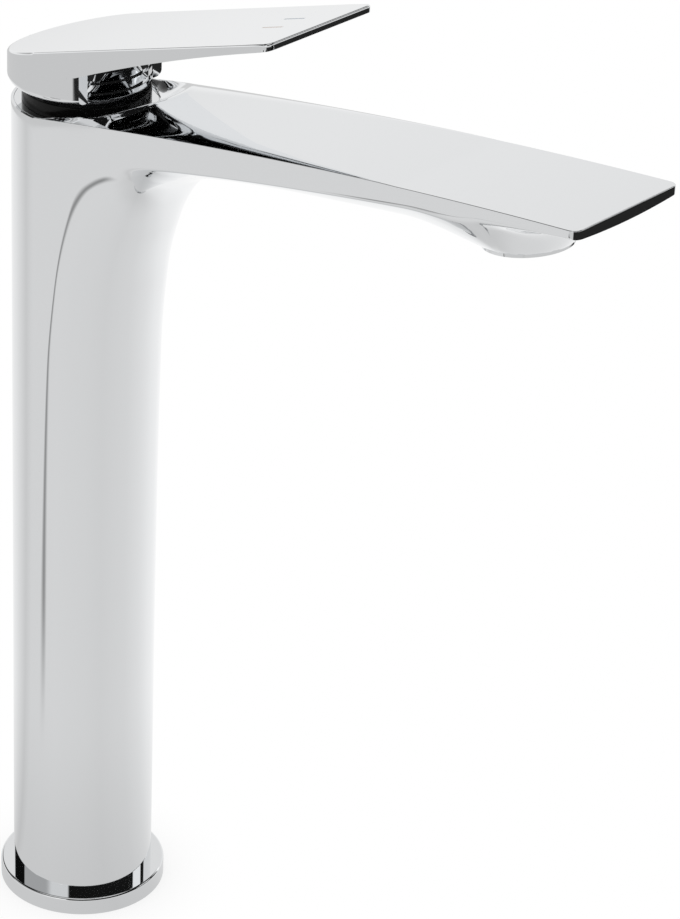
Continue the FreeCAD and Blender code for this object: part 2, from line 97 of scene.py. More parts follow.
# Numbers of points: along the body, along its top, across its flat part, in each tip corner, round the column's back,
# and in the rounded top edge
BODY_POINTS = 900
TOP_POINTS = 110
FLAT_POINTS = 18
CORNER_POINTS = 9
TIP_ROWS = 8
BACK_POINTS = 64
EDGE_RINGS = 3

# The points of the top lie closer together near the lever by this power
TOP_SPACING = 1.6

# Power of the hollow curve round the outlet
FLARE_POWER = 2.2

# Height of the outlet's boss above its rim, and how far the tool of its bore starts below the rim
BOSS_HEIGHT = 11.0
BORE_START = -1.0

# Points round the outlet, round the foot and round the floor
OUTLET_POINTS = 96
FOOT_POINTS = 192
FLOOR_POINTS = 128

# Painted reflection: brightness of the floor as only the chrome mirrors it, standing in for the studio's light and
# shade; direction from the foot in degrees, and tone
PAINTED_REFLECTION_TONES = (
    (-180, 0.86), (-163, 0.76), (-150, 0.67), (-136, 0.75), (-90, 0.76), (-45, 0.74), (-20, 0.72), (20, 0.76),
    (50, 0.84), (74, 0.93), (110, 1.0), (150, 0.95), (180, 0.86),
)

# Painted shade in the floor's reflection: parts that only the chrome mirrors darker, a painted shadow near the foot
# and painted dark streaks. In turns round the foot, starting at -X, or in metres from it:
# where a part starts, is full, fades and ends
FLOOR_AHEAD = (0.315, 0.335, 0.745, 0.765)
FLOOR_BESIDE = (0.226, 0.236, 0.268, 0.276)
FLOOR_LINE_LENGTH = (0.1, 0.22, 0.425, 0.455)
FLOOR_LINE_TURN = 0.189
FLOOR_LINE_WIDTH = 0.017
PAINTED_LINE_SHADE = 0.6
FLOOR_FAR = (0.49, 0.505)
PAINTED_FAR_SHADE = 0.97
FLOOR_NEAR = (0.14, 0.02)
PAINTED_NEAR_SHADOW = 0.12

# Distances in metres over which the floor's shadow of the foot fades out
FLOOR_SHADOW = (-0.03, 0.05)

# Parts of the surroundings: direction, then the cosines at which each starts and is full
FRONT = ((1.0, 0.1, 0.0), 0.15, 0.4)
BEHIND = ((-1.0, 0.05, 0.0), 0.74, 0.8)
AHEAD = ((0.97, 0.24, 0.0), 0.19, 0.26)
LEFT = ((-0.87, -0.5, 0.0), 0.5, 0.66)

# Heights in the surroundings, as sines of the elevation: where a change starts and where it is full
CEILING_EDGE = 0.64
CEILING_BLUR = (-0.03, 0.06)
OVERHEAD = (0.84, 0.93)
LOW = (-0.27, -0.33)
LEFT_HEIGHT = (0.1, 0.3)
UPWARDS = (0.0, 0.6)
BELOW = (-0.05, -0.15)

# How far the ceiling's edge comes down in front and behind
CEILING_FRONT_DROP = 0.5
CEILING_BACK_DROP = 0.24

# Brightness of the walls, and how much each part takes off it or, overhead, gives back
WALL_LIGHT = 0.93
CEILING_DARKNESS = 0.99
OVERHEAD_LIGHT = 0.8
LOW_AHEAD_DARKNESS = 0.97
LEFT_DARKNESS = 0.35
UPWARDS_DARKNESS = 0.12
BELOW_DARKNESS = 0.28

# Lamps in the surroundings: direction, and half of the angle that each one fills, in degrees
LAMPS = (
    (0.15, -0.86, 0.5, 2.5), (0.66, 0.56, 0.5, 2.5), (0.05, 0.88, 0.47, 2.5), (-0.35, 0.1, 0.9, 2.5),
    (0.4, 0.68, 0.6, 8.0),
)
LAMP_BLUR = 1.5

# Roundings of the edges, in millimetres
FOOT_EDGE = 0.8
LEVER_TOP_EDGE = 0.8
LEVER_EDGE = 0.35
CAP_EDGE = 0.25
MARK_EDGE = 0.12
TRIM_EDGE = 0.3
EDGE_STEPS = 6

# Thickness of the strands of the outlet's mesh, in millimetres
STRAND = 0.34

# Edges that turn by more than these angles, in degrees, are rounded, kept sharp on the body, or kept sharp elsewhere
ROUNDED_TURN = 35.0
BODY_SHARP_TURN = 34.0
SHARP_TURN = 32.0
FOOT_SHARP_TURN = 30.0

# Points closer than this, in metres, are merged, and faces that turn by less than this angle are joined
MERGED = 2e-6
FLAT_TURN = 0.4

# Zone of the marks on the lever's top, in metres: half its width and where it starts
MARKS_HALF_WIDTH = 0.012
MARKS_START = 0.05

# Finishes of the pieces that are not chrome
FINISHES = {
    "seal_rubber": {"colour": (0.02, 0.02, 0.02), "roughness": 0.7},
    "raw_brass": {"colour": (0.72, 0.52, 0.22), "roughness": 0.32, "metallic": 1.0, "scale": 400.0, "strength": 0.2,
                  "stretch": (1.0, 1.0, 6.0)},
    "white_plastic": {"colour": (0.82, 0.82, 0.8), "roughness": 0.45},
    "grey_plastic": {"colour": (0.3, 0.31, 0.33), "roughness": 0.5},
    # black_plastic on the cover sleeve is painted shade, standing in for the dark chrome reflections under the lever
    "black_plastic": {"colour": (0.004, 0.004, 0.004), "roughness": 0.2, "strength": 0.03, "shine": 0.15},
    "white_ceramic": {"colour": (0.9, 0.89, 0.87), "roughness": 0.2, "strength": 0.05},
    "plain_steel": {"colour": (0.55, 0.55, 0.56), "roughness": 0.3, "metallic": 1.0, "scale": 600.0,
                    "stretch": (1.0, 1.0, 8.0)},
}
ENAMEL = {"roughness": 0.25, "strength": 0.05}


class TapBodySizes(bpy.types.PropertyGroup):
    """Sizes of the body, in millimetres"""

    column_radius: FloatProperty(name="Column radius", description="Radius of the column", default=21.5)
    foot: FloatProperty(name="Foot height", description="Where the column starts above the deck", default=5.5)
    top: FloatProperty(name="Body top", description="Height of the column's top", default=263.2)
    reach: FloatProperty(name="Spout reach", description="From the column's axis to the tip", default=191.0)
    rise: FloatProperty(name="Spout rise", description="How far the spout rises to its tip", default=28.0)
    arch: FloatProperty(name="Top arch", description="How far the spout's top bows up", default=2.6)
    tip: FloatProperty(name="Tip thickness", description="Thickness of the spout's side at its tip", default=2.4)
    tip_corner: FloatProperty(name="Tip corner", description="Radius of the tip's corners in plan", default=2.6)
    side_root: FloatProperty(name="Side height", description="Height of the flat side at the root", default=8.8)
    side_reach: FloatProperty(name="Side reach", description="Where the flat side's taper starts", default=64.0)
    pocket: FloatProperty(name="Pocket radius", description="Radius of the seat round the lever", default=21.0)
    ring: FloatProperty(name="Ring radius", description="Radius of the collar ring's seat", default=20.7)
    ring_depth: FloatProperty(name="Ring depth", description="Depth of the collar ring's seat", default=1.5)
    crease: FloatProperty(
        name="Crease rounding", description="Radius between the flat sides and the front", default=0.8)
    edge: FloatProperty(name="Edge rounding", description="Radius of the polished top edge", default=0.25)
    shoulder_slope: FloatProperty(
        name="Shoulder slope", description="Slope of the rolled edge beside the lever", unit="ROTATION",
        default=math.radians(26.0))
    shoulder_end: FloatProperty(name="Shoulder end", description="Where the rolled edge fades out", default=132.0)
    ramp_slope: FloatProperty(
        name="Ramp slope", description="Slope from the lever's seat up to the spout's top", unit="ROTATION",
        default=math.radians(42.0))
    rim_slope: FloatProperty(
        name="Rim slope", description="Slope of the seat's wall at the sides", unit="ROTATION",
        default=math.radians(80.0))
    ramp_turn: FloatProperty(
        name="Ramp turn", description="Turn from the spout over which the ramp becomes the wall", unit="ROTATION",
        default=math.radians(38.0))
    lever_slope: FloatProperty(
        name="Lever slope", description="Rise of the lever's top", unit="ROTATION", default=math.radians(17.76))
    outlet_reach: FloatProperty(name="Outlet reach", description="From the axis to the outlet", default=160.0)
    outlet_drop: FloatProperty(name="Outlet drop", description="Outlet's rim below the spout's top", default=16.6)
    outlet_lean: FloatProperty(name="Outlet lean", description="Lean of the outlet, in degrees", default=8.0)
    outlet_radius: FloatProperty(name="Outlet radius", description="Outer radius of the outlet", default=12.4)
    lip: FloatProperty(name="Outlet lip", description="How far the outlet's rim stands out", default=0.7)
    flare: FloatProperty(name="Flare", description="Width of the blend round the outlet", default=9.0)
    flare_back: FloatProperty(name="Flare to the back", description="Its width towards the column", default=24.0)
    outlet_bore: FloatProperty(name="Outlet bore", description="Radius of the outlet's bore", default=10.4)
    outlet_bore_depth: FloatProperty(name="Bore depth", description="Depth of the outlet's bore", default=9.0)


class TapFinish(bpy.types.PropertyGroup):
    """Colours and polish of the finishes"""

    chrome: FloatVectorProperty(
        name="Chrome", description="Colour of the chrome", subtype="COLOR", default=(0.84, 0.85, 0.86), size=3)
    polish: FloatProperty(name="Polish", description="Roughness of clean chrome", default=0.03, min=0.0, max=1.0)
    hot: FloatVectorProperty(
        name="Hot mark", description="Colour of the warm mark", subtype="COLOR", default=(0.52, 0.42, 0.36), size=3)
    cold: FloatVectorProperty(
        name="Cold mark", description="Colour of the cold mark", subtype="COLOR", default=(0.29, 0.34, 0.40), size=3)
    mesh_gaps: IntProperty(name="Mesh gaps", description="Gaps across the outlet's wire mesh", default=17, min=3)


class TapStage(bpy.types.PropertyGroup):
    """Camera and floor"""

    eye: FloatVectorProperty(
        name="Eye", description="Place of the camera", subtype="XYZ", unit="LENGTH",
        default=(0.70871, -0.72590, 0.69147), size=3)
    target: FloatVectorProperty(
        name="Target", description="What the camera looks at", subtype="XYZ", unit="LENGTH",
        default=(0.05823, 0.04889, 0.15006), size=3)
    roll: FloatProperty(name="Roll", description="Roll of the camera", unit="ROTATION", default=math.radians(2.3565))
    lens: FloatProperty(name="Lens", description="Focal length in millimetres", default=150.95)
    floor_radius: FloatProperty(name="Floor radius", description="Radius of the floor", unit="LENGTH", default=0.62)


def sizes():
    return bpy.context.scene.tap_body


def finish():
    return bpy.context.scene.tap_finish


# Shape of the body

def top_height(x):
    """Height of the spout's top along its middle, without the crown beside the lever."""
    s = sizes()
    share = x / s.reach
    return s.top + s.rise * share + 4 * s.arch * share * (1 - share)


def side_height(x):
    """Height of the spout's flat side."""
    s = sizes()
    share = (x - s.side_reach) / (s.reach - s.side_reach)
    return s.side_root + (s.tip - s.side_root) * share


def spout_surface(x, y):
    """Height of the spout's top: flat in the middle, rolled down to the sides beside the lever."""
    s = sizes()
    fade = max(0.0, min(1.0, (s.shoulder_end - x) / (s.shoulder_end - s.pocket)))
    band = s.column_radius * (ROLL_ROOT * fade ** 4 + (1 - ROLL_ROOT) * fade)
    crown = band * math.tan(s.shoulder_slope) / 2
    share = max(0.0, min(1.0, (abs(y) - s.column_radius + band) / band)) if band > 0.01 else 0.0
    plate = top_height(x) + crown * (1 - share ** 2)
    aside = max(0.0, min(1.0, (math.atan2(abs(y), x) - s.ramp_turn) / s.ramp_turn))
    slope = math.tan(s.ramp_slope) + (math.tan(s.rim_slope) - math.tan(s.ramp_slope)) * aside ** 2
    ramp = s.top + (math.hypot(x, y) - s.pocket) * slope
    return smooth_lower(plate, ramp, RAMP_BLEND)


def smooth_lower(first, second, width):
    """The lower of two heights, with a rounded change from one to the other."""
    share = max(0.0, min(1.0, 0.5 + (second - first) / (2 * width)))
    return second + (first - second) * share - width * share * (1 - share) / 2


def smooth_path(points, count):
    """Evenly spaced points on a smooth path through the given ones, without overshoot."""
    width = len(points[0])
    along = [0.0]
    for first, second in zip(points, points[1:]):
        along.append(along[-1] + math.dist(first, second))
    slopes = [[(b[k] - a[k]) / (t - s) for k in range(width)]
              for a, b, s, t in zip(points, points[1:], along, along[1:])]
    tangents = [slopes[0]]
    for before, after in zip(slopes, slopes[1:]):
        tangents.append([2 * p * q / (p + q) if p * q > 0 else 0.0 for p, q in zip(before, after)])
    tangents.append(slopes[-1])
    path = []
    for step in range(count):
        distance = along[-1] * step / (count - 1)
        i = max(k for k in range(len(along) - 1) if along[k] <= distance + 1e-9)
        span = along[i + 1] - along[i]
        u = (distance - along[i]) / span
        path.append([
            points[i][k] * (2 * u ** 3 - 3 * u ** 2 + 1) + points[i + 1][k] * (3 * u ** 2 - 2 * u ** 3)
            + tangents[i][k] * span * (u ** 3 - 2 * u ** 2 + u) + tangents[i + 1][k] * span * (u ** 3 - u ** 2)
            for k in range(width)])
    return path


def body_stations(count):
    """Side edge and middle of the front, then of the underside, from the foot to past the tip."""
    s = sizes()
    stations = [(FOOT_SIDE, s.foot, s.column_radius, s.foot)]
    for side, side_drop, bulge, front_drop in ELBOW_FRONT:
        stations.append((side, s.top - side_drop, s.column_radius + bulge, s.top - front_drop))
    hangs = [(s.side_reach + (s.outlet_reach - s.side_reach) * share, keel) for share, keel in SPOUT_KEEL]
    hangs += [(s.outlet_reach + past, keel) for past, keel in OUTLET_KEEL]
    hangs.append((s.reach + TIP_MARGIN, TIP_KEEL))
    for reach, keel in hangs:
        edge = top_height(reach) - side_height(reach)
        stations.append((reach, edge, reach, edge - keel))
    return smooth_path(stations, count)


def plan_columns(inset):
    """Places across the spout, closer together round the tip's corners."""
    s = sizes()
    flat = s.column_radius - s.tip_corner
    corner = s.tip_corner - inset
    half = [flat * k / FLAT_POINTS for k in range(FLAT_POINTS + 1)]
    half += [flat + corner * math.sin(math.pi / 2 * k / CORNER_POINTS) for k in range(1, CORNER_POINTS + 1)]
    return [-y for y in reversed(half[1:])] + half


def tip_reach(y, inset):
    """Reach of the tip's outline at a place across the spout."""
    s = sizes()
    corner = s.tip_corner - inset
    past = max(0.0, abs(y) - (s.column_radius - s.tip_corner))
    return s.reach - s.tip_corner + math.sqrt(max(0.0, corner ** 2 - past ** 2))


def warped(x, y, inset):
    """Reach of a row across the spout, bent round the tip's corners."""
    s = sizes()
    start = s.reach - s.tip_corner
    if x <= start:
        return x
    return start + (x - start) / (s.tip_corner - inset) * (tip_reach(y, inset) - start)


def belled(point):
    """The underside drawn down to the outlet's rim, in a hollow curve that is longest towards the column."""
    s = sizes()
    past = point.x - s.outlet_reach
    away = math.hypot(past, point.y)
    width = s.flare + (s.flare_back - s.flare) * max(0.0, -past / max(away, 0.01))
    share = max(0.0, min(1.0, (away - s.outlet_radius) / width))
    rim = top_height(s.outlet_reach) - s.outlet_drop + s.lip + math.tan(math.radians(s.outlet_lean)) * past
    drop = max(0.0, point.z - rim) * (1 - share) ** FLARE_POWER
    return point - Vector((0, 0, drop))


def front_rows():
    """Rows of points over the column's front and the spout's underside, from foot to tip."""
    s = sizes()
    dense = body_stations(BODY_POINTS)
    corner_start = s.reach - s.tip_corner
    rows = [st for st in dense[::2] if st[0] < corner_start - 1.0]
    spout = [st for st in dense if st[0] > corner_start - TIP_MARGIN]
    columns = plan_columns(0.0)

    def arc_point(station, y):
        side_x, side_z, front_x, front_z = station
        depth = math.hypot(front_x - side_x, front_z - side_z)
        radius = (s.column_radius ** 2 + depth ** 2) / (2 * depth)
        share = (math.sqrt(max(0.0, radius ** 2 - y ** 2)) - (radius - depth)) / depth
        near_side = max(0.0, 1 - (s.column_radius - abs(y)) / s.crease)
        drop = s.crease * (1 - math.sqrt(max(0.0, 1 - near_side ** 2)))
        share = max(0.0, share) - drop / depth
        return belled(Vector((side_x + (front_x - side_x) * share, y, side_z + (front_z - side_z) * share)))

    def at_reach(x, y):
        for first, second in zip(spout, spout[1:]):
            if first[0] <= x <= second[0]:
                u = (x - first[0]) / (second[0] - first[0])
                return arc_point([a + (b - a) * u for a, b in zip(first, second)], y)
        raise ValueError("the reach is outside the spout's tip")

    points = [[arc_point(st, y) for y in columns] for st in rows]
    for k in range(TIP_ROWS + 1):
        x = corner_start + s.tip_corner * k / TIP_ROWS
        points.append([at_reach(warped(x, y, 0.0), y) for y in columns])
    return points


def top_rows():
    """Rows of points over the spout's top, from the seat round the lever to the rounded edge."""
    s = sizes()
    columns = plan_columns(s.edge)
    rows = []
    for k in range(TOP_POINTS + 1):
        row = []
        for y in columns:
            begin = math.sqrt(max(0.0, s.pocket ** 2 - y ** 2))
            end = tip_reach(y, s.edge)
            x = begin + (end - begin) * (k / TOP_POINTS) ** TOP_SPACING
            row.append(Vector((x, y, spout_surface(x, y))))
        rows.append(row)
    return rows


# Mesh tools

def deselect():
    if bpy.context.object and bpy.context.object.mode != "OBJECT":
        bpy.ops.object.mode_set(mode="OBJECT")
    bpy.ops.object.select_all(action="DESELECT")


def activate(obj):
    deselect()
    obj.select_set(True)
    bpy.context.view_layer.objects.active = obj


def mesh_object(name, bm):
    mesh = bpy.data.meshes.new(name)
    bm.to_mesh(mesh)
    bm.free()
    obj = bpy.data.objects.new(name, mesh)
    bpy.context.scene.collection.objects.link(obj)
    return obj


def apply_modifiers(obj):
    activate(obj)
    for modifier in list(obj.modifiers):
        bpy.ops.object.modifier_apply(modifier=modifier.name)


def smooth_shading(obj, degrees):
    activate(obj)
    bpy.ops.object.shade_smooth_by_angle(angle=math.radians(degrees))


def even_normals(obj):
    modifier = obj.modifiers.new("Even normals", "WEIGHTED_NORMAL")
    modifier.keep_sharp = True
    modifier.weight = 80
    apply_modifiers(obj)


def round_edges(obj, chosen, width):
    """Rounds the chosen edges of an object in edit mode."""
    bpy.ops.mesh.select_all(action="DESELECT")
    bm = bmesh.from_edit_mesh(obj.data)
    bm.select_mode = {"EDGE"}
    for edge in bm.edges:
        if chosen(edge):
            edge.select_set(True)
    bmesh.update_edit_mesh(obj.data)
    bpy.ops.mesh.bevel(offset=width * MM, segments=EDGE_STEPS, profile=0.5, affect="EDGES")


def dressed_copy(node, name, rounding, first_edges=None, first_rounding=0.0):
    """A merged copy of a CAD node with rounded edges, some of them with a first rounding of their own."""
    source = frame["nodes"][node]
    deselect()
    obj = bpy.data.objects.new(name, source.data.copy())
    bpy.context.scene.collection.objects.link(obj)
    obj.data.materials.clear()
    activate(obj)
    bpy.ops.object.mode_set(mode="EDIT")
    bpy.ops.mesh.select_all(action="SELECT")
    bpy.ops.mesh.customdata_custom_splitnormals_clear()
    bpy.ops.mesh.remove_doubles(threshold=MERGED)
    bpy.ops.mesh.dissolve_limited(angle_limit=math.radians(FLAT_TURN))
    if first_edges:
        round_edges(obj, first_edges, first_rounding)
    bpy.ops.object.mode_set(mode="OBJECT")
    bevel = obj.modifiers.new("Rounding", "BEVEL")
    bevel.width = rounding * MM
    bevel.segments = 3
    bevel.limit_method = "ANGLE"
    bevel.angle_limit = math.radians(ROUNDED_TURN)
    bevel.use_clamp_overlap = True
    apply_modifiers(obj)
    smooth_shading(obj, SHARP_TURN)
    even_normals(obj)
    return obj


def place(obj, material, body, nodes):
    """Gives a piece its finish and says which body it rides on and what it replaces."""
    obj.data.materials.clear()
    obj.data.materials.append(material)
    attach(obj, body)
    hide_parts(*nodes)


# Materials

def new_material(slot, colour):
    """The material for a slot's finish, with its tree and shader only when it is new."""
    name = f"{slot}_finish"
    material = bpy.data.materials.get(name)
    if material:
        return material, None, None
    material = bpy.data.materials.new(name)
    material.use_nodes = True
    tree = material.node_tree
    shader = tree.nodes["Principled BSDF"]
    shader.inputs["Base Color"].default_value = (*colour, 1.0)
    return material, tree, shader


def grain(tree, scale, detail, stretch=(1.0, 1.0, 1.0)):
    """Noise on object coordinates, in grains per metre."""
    place_node = tree.nodes.new("ShaderNodeTexCoord")
    mapping = tree.nodes.new("ShaderNodeMapping")
    mapping.inputs["Scale"].default_value = stretch
    noise = tree.nodes.new("ShaderNodeTexNoise")
    noise.inputs["Scale"].default_value = scale
    noise.inputs["Detail"].default_value = detail
    tree.links.new(place_node.outputs["Object"], mapping.inputs["Vector"])
    tree.links.new(mapping.outputs["Vector"], noise.inputs["Vector"])
    return noise.outputs["Fac"]


def spread(tree, value, low, high):
    node = tree.nodes.new("ShaderNodeMapRange")
    node.inputs["From Min"].default_value = 0.35
    node.inputs["From Max"].default_value = 0.7
    node.inputs["To Min"].default_value = low
    node.inputs["To Max"].default_value = high
    tree.links.new(value, node.inputs["Value"])
    return node.outputs["Result"]


def combined(tree, operation, first, second):
    """A sum, difference, product or the like of two numbers or sockets."""
    node = tree.nodes.new("ShaderNodeMath")
    node.operation = operation
    for socket, value in zip(node.inputs, (first, second)):
        if isinstance(value, (int, float)):
            socket.default_value = value
        else:
            tree.links.new(value, socket)
    return node.outputs["Value"]


def rise(tree, value, low, high):
    """0 at the first number, 1 at the second, with a smooth change between."""
    node = tree.nodes.new("ShaderNodeMapRange")
    node.interpolation_type = "SMOOTHSTEP"
    node.inputs["From Min"].default_value = low
    node.inputs["From Max"].default_value = high
    tree.links.new(value, node.inputs["Value"])
    return node.outputs["Result"]


def between(tree, value, start, full, fade, end):
    """1 from the second number to the third, 0 before the first and after the fourth."""
    return combined(tree, "MULTIPLY", rise(tree, value, start, full), rise(tree, value, end, fade))


def seen_or_mirrored(tree, seen, mirrored, output_type):
    """Shows one shader to the camera and lets the chrome mirror the other."""
    path = tree.nodes.new("ShaderNodeLightPath")
    mix = tree.nodes.new("ShaderNodeMixShader")
    tree.links.new(path.outputs["Is Glossy Ray"], mix.inputs["Fac"])
    tree.links.new(seen, mix.inputs[1])
    tree.links.new(mirrored, mix.inputs[2])
    output = tree.nodes.new(output_type)
    tree.links.new(mix.outputs["Shader"], output.inputs["Surface"])


def relief(tree, shader, value, strength, depth):
    bump = tree.nodes.new("ShaderNodeBump")
    bump.inputs["Strength"].default_value = strength
    bump.inputs["Distance"].default_value = depth
    tree.links.new(value, bump.inputs["Height"])
    tree.links.new(bump.outputs["Normal"], shader.inputs["Normal"])


def chrome():
    """Polished chrome: faint wipe marks in the polish and the slow swell of a cast surface."""
    f = finish()
    material, tree, shader = new_material("polished_chrome", f.chrome)
    if tree:
        shader.inputs["Metallic"].default_value = 1.0
        wipes = grain(tree, scale=60.0, detail=4.0, stretch=(1.0, 1.0, 0.25))
        tree.links.new(spread(tree, wipes, f.polish * 0.6, f.polish * 1.6), shader.inputs["Roughness"])
        relief(tree, shader, grain(tree, scale=35.0, detail=1.0), strength=0.02, depth=0.0003)
    return material


def plain(slot, colour, roughness, metallic=0.0, scale=900.0, strength=0.15, stretch=(1.0, 1.0, 1.0), shine=0.5):
    """A grained finish for the pieces inside, seals, sleeve and marks."""
    material, tree, shader = new_material(slot, colour)
    if tree:
        shader.inputs["Metallic"].default_value = metallic
        shader.inputs["Specular IOR Level"].default_value = shine
        value = grain(tree, scale, detail=3.0, stretch=stretch)
        tree.links.new(spread(tree, value, roughness * 0.8, roughness * 1.25), shader.inputs["Roughness"])
        relief(tree, shader, value, strength, depth=0.0001)
    return material


def slot_material(slot):
    """The finish that belongs to a material slot."""
    if slot == "polished_chrome":
        return chrome()
    marks = {"hot_enamel": finish().hot, "cold_enamel": finish().cold}
    if slot in marks:
        return plain(slot, marks[slot], **ENAMEL)
    return plain(slot, **FINISHES[slot])


# Operators

class TAP_OT_body(bpy.types.Operator):
    """Column, elbow and spout as one polished skin"""

    bl_idname = "tap.body"
    bl_label = "Body"

    def execute(self, context):
        s = sizes()
        bm = bmesh.new()

        def verts(points):
            return [bm.verts.new(Vector(p) * MM) for p in points]

        def strip(first, second):
            for a, b, c, d in zip(first, first[1:], second[1:], second):
                bm.faces.new((a, b, c, d))

        front = [verts(row) for row in front_rows()]
        for first, second in zip(front, front[1:]):
            strip(first, second)
        top = [verts(row) for row in top_rows()]
        for first, second in zip(top, top[1:]):
            strip(second, first)

        # Rounded edge along both sides and round the tip
        outline = [row[0] for row in top] + top[-1][1:-1] + [row[-1] for row in reversed(top)]
        inner = [v.co / MM for v in outline]
        last = len(top) - 1
        normals = []
        for k, p in enumerate(inner):
            if k <= last:
                normals.append(Vector((0, -1, 0)))
            elif k >= len(inner) - last - 1:
                normals.append(Vector((0, 1, 0)))
            else:
                flat = s.column_radius - s.tip_corner
                centre = Vector((s.reach - s.tip_corner, max(-flat, min(flat, p.y)), 0))
                normals.append(Vector((p.x - centre.x, p.y - centre.y, 0)).normalized())
        rings = [outline]
        for step in range(1, EDGE_RINGS + 1):
            turn = math.pi / 2 * step / EDGE_RINGS
            rings.append(verts([
                p + n * s.edge * math.sin(turn) - Vector((0, 0, s.edge * (1 - math.cos(turn))))
                for p, n in zip(inner, normals)]))
        for first, second in zip(rings, rings[1:]):
            strip(first, second)
        rim = rings[-1]
        near_rim = rim[:last + 1]
        tip_rim = rim[last:len(rim) - last]
        far_rim = rim[len(rim) - last - 1:]

        # Tip's wall between the rounded edge and the underside
        strip(tip_rim, front[-1])

        # Back of the column
        half_turn = [math.pi / 2 + math.pi * k / BACK_POINTS for k in range(BACK_POINTS + 1)]
        foot = verts([(s.column_radius * math.cos(a), s.column_radius * math.sin(a), s.foot) for a in half_turn])
        head = verts([(s.column_radius * math.cos(a), s.column_radius * math.sin(a), s.top) for a in half_turn])
        strip(head, foot)

        # Seat round the lever: its wall, its floor and the ring's seat
        seat = verts([(v.co.x / MM, v.co.y / MM, s.top) for v in top[0]])
        strip(top[0], seat)
        near_seat = verts([(0.0, -s.column_radius, s.top)])[0]
        far_seat = verts([(0.0, s.column_radius, s.top)])[0]
        bm.faces.new([ring[0] for ring in rings] + [near_seat, seat[0]])
        bm.faces.new([ring[-1] for ring in reversed(rings)] + [seat[-1], far_seat])
        border = [near_seat] + seat + [far_seat] + head

        def ring_point(v, z):
            angle = math.atan2(v.co.y, v.co.x)
            return (s.ring * math.cos(angle), s.ring * math.sin(angle), z)

        lip = verts([ring_point(v, s.top) for v in border])
        floor = verts([ring_point(v, s.top - s.ring_depth) for v in border])
        border.append(border[0])
        strip(lip + lip[:1], border)
        strip(floor + floor[:1], lip + lip[:1])
        bm.faces.new(floor)

        # Flat sides and the foot
        near_edge = [row[0] for row in front]
        far_edge = [row[-1] for row in front]
        bm.faces.new(near_edge + list(reversed(near_rim)) + [near_seat, head[-1], foot[-1]])
        bm.faces.new(list(reversed(far_edge)) + [foot[0], head[0], far_seat] + list(reversed(far_rim)))
        bm.faces.new(list(reversed(front[0])) + list(reversed(foot)))

        bmesh.ops.remove_doubles(bm, verts=bm.verts, dist=MERGED)
        bmesh.ops.dissolve_degenerate(bm, edges=bm.edges, dist=1e-6)
        bmesh.ops.recalc_face_normals(bm, faces=bm.faces)
        obj = mesh_object("body_skin", bm)
        self.add_outlet(obj)
        obj.data.shade_smooth()
        self.mark_creases(obj)
        even_normals(obj)
        place(obj, chrome(), "body", ["body_shell"])
        return {"FINISHED"}

    def add_outlet(self, obj):
        """Joins the outlet's round boss to the underside and bores it."""
        s = sizes()
        lean = math.radians(s.outlet_lean)
        axis = Vector((-math.sin(lean), 0, math.cos(lean)))
        rim = Vector((s.outlet_reach, 0, top_height(s.outlet_reach) - s.outlet_drop))
        for radius, start, end, operation in (
                (s.outlet_radius, 0.0, BOSS_HEIGHT, "UNION"),
                (s.outlet_bore, BORE_START, s.outlet_bore_depth, "DIFFERENCE")):
            middle = rim + axis * (start + end) / 2
            deselect()
            bpy.ops.mesh.primitive_cylinder_add(
                vertices=OUTLET_POINTS, radius=radius * MM, depth=(end - start) * MM, location=middle * MM,
                rotation=(0, -lean, 0))
            tool = bpy.context.object
            modifier = obj.modifiers.new("Outlet", "BOOLEAN")
            modifier.operation = operation
            modifier.solver = "EXACT"
            modifier.object = tool
            apply_modifiers(obj)
            bpy.data.objects.remove(tool)

    def mark_creases(self, obj):
        """Keeps the true edges sharp and the polished bends smooth."""
        bm = bmesh.new()
        bm.from_mesh(obj.data)
        for edge in bm.edges:
            edge.smooth = edge.calc_face_angle(0.0) < math.radians(BODY_SHARP_TURN)
        bm.to_mesh(obj.data)
        bm.free()


class TAP_OT_foot(bpy.types.Operator):
    """Round foot plate with its softened edge"""

    bl_idname = "tap.foot"
    bl_label = "Foot"

    def execute(self, context):
        low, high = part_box("base_flange")
        deselect()
        height = high.z - low.z
        bpy.ops.mesh.primitive_cylinder_add(
            vertices=FOOT_POINTS, radius=high.x, depth=height, location=(0, 0, height / 2))
        obj = context.object
        obj.name = "foot_plate"
        bpy.ops.object.transform_apply(location=True, rotation=True, scale=True)
        bpy.ops.object.mode_set(mode="EDIT")
        round_edges(obj, lambda edge: all(abs(v.co.z - height) < 1e-6 for v in edge.verts), FOOT_EDGE)
        bpy.ops.object.mode_set(mode="OBJECT")
        smooth_shading(obj, FOOT_SHARP_TURN)
        even_normals(obj)
        place(obj, chrome(), "body", ["base_flange"])
        return {"FINISHED"}


class TAP_OT_lever(bpy.types.Operator):
    """Lever with its hub, edges softened by polishing"""

    bl_idname = "tap.lever"
    bl_label = "Lever"

    def execute(self, context):
        obj = dressed_copy("lever_handle", "lever_grip", LEVER_EDGE, self.on_top_edge, LEVER_TOP_EDGE)
        place(obj, chrome(), "lever", ["lever_handle"])
        cap = dressed_copy("screw_cap", "cap_button", CAP_EDGE)
        place(cap, chrome(), "lever", ["screw_cap"])
        for node in ("hot_marker", "cold_marker"):
            mark = dressed_copy(node, node.replace("marker", "dash"), MARK_EDGE)
            slot = node.replace("marker", "enamel")
            place(mark, slot_material(slot), "lever", [node])
        return {"FINISHED"}

    def on_top_edge(self, edge):
        """True for the sharp outline of the lever's flat top, apart from the hollows of the marks."""
        if edge.calc_face_angle(0.0) <= math.radians(ROUNDED_TURN):
            return False
        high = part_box("lever_handle")[1]
        slope = math.tan(sizes().lever_slope)

        def on_top(v):
            return abs(high.z - slope * (high.x - v.co.x) - v.co.z) < 2e-5

        at_mark = all(abs(v.co.y) < MARKS_HALF_WIDTH and v.co.x > MARKS_START for v in edge.verts)
        return all(on_top(v) for v in edge.verts) and not at_mark


